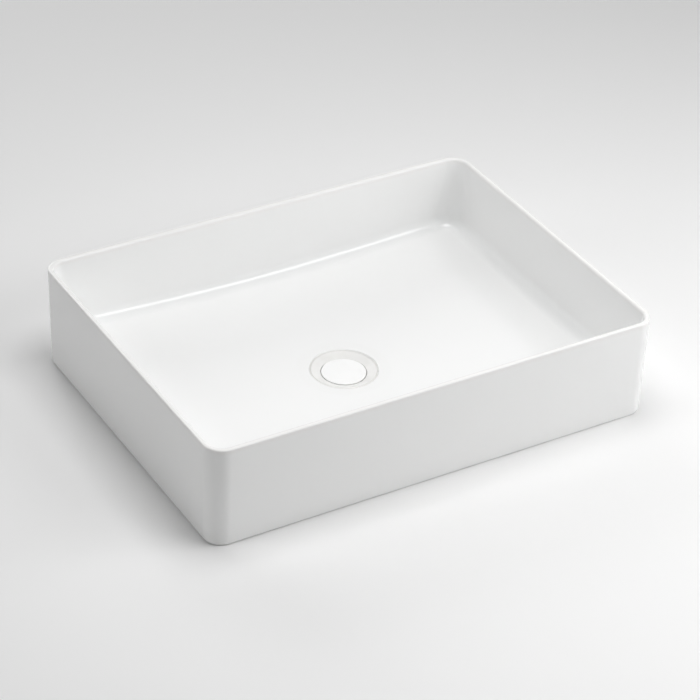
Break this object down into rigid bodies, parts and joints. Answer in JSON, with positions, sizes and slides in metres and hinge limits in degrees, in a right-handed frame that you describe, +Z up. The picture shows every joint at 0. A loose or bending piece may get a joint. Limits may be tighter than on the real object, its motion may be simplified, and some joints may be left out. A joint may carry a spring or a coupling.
{
  "type": "countertop washbasin",
  "caption": "Rectangular white ceramic washbasin that stands on a counter, with a thin rim, a floor falling to a central drain and a push-to-close waste.",
  "frame": {"origin": "middle of the foot ring's plane, where it stands on the counter, on the drain's axis", "axes": "+X along the basin's length, +Y to its back, +Z up along the drain's axis"},
  "size_m": [0.48, 0.358, 0.193],
  "materials": {
    "glaze": "white gloss glaze, unglazed under the foot",
    "white_enamel": "white gloss enamel on brass",
    "turned_brass": "turned",
    "chrome_plate": "polished",
    "steel": "drawn",
    "seal_rubber": "moulded",
    "white_rubber": "moulded",
    "slip_plastic": "moulded"
  },
  "bodies": {
    "basin": {"basin": "glaze", "flange_seal": "white_rubber", "waste_flange": "white_enamel", "spigot_seal": "seal_rubber", "waste_body": "turned_brass", "under_gasket": "seal_rubber", "friction_washer": "slip_plastic", "lock_nut": "turned_brass", "tail_seal": "seal_rubber", "tailpiece": "chrome_plate", "cartridge_housing": "turned_brass", "cartridge_nut": "turned_brass", "cartridge_end_cap": "turned_brass", "return_spring": "steel"},
    "plug": {"plug_cap": "white_enamel", "plug_body": "slip_plastic", "plug_seal": "seal_rubber", "plunger": "steel"},
    "ratchet": {"ratchet_ring": "slip_plastic"}
  },
  "joints": [
    {"name": "plug_travel", "type": "slide", "parent": "basin", "child": "plug", "axis": [0, 0, 1], "range_m": [-0.002, 0.008], "deforming": ["return_spring"]},
    {"name": "ratchet_turn", "type": "hinge", "parent": "plug", "child": "ratchet", "pos_m": [0, 0, -0.0196], "axis": [0, 0, 1], "continuous": true}
  ]
}
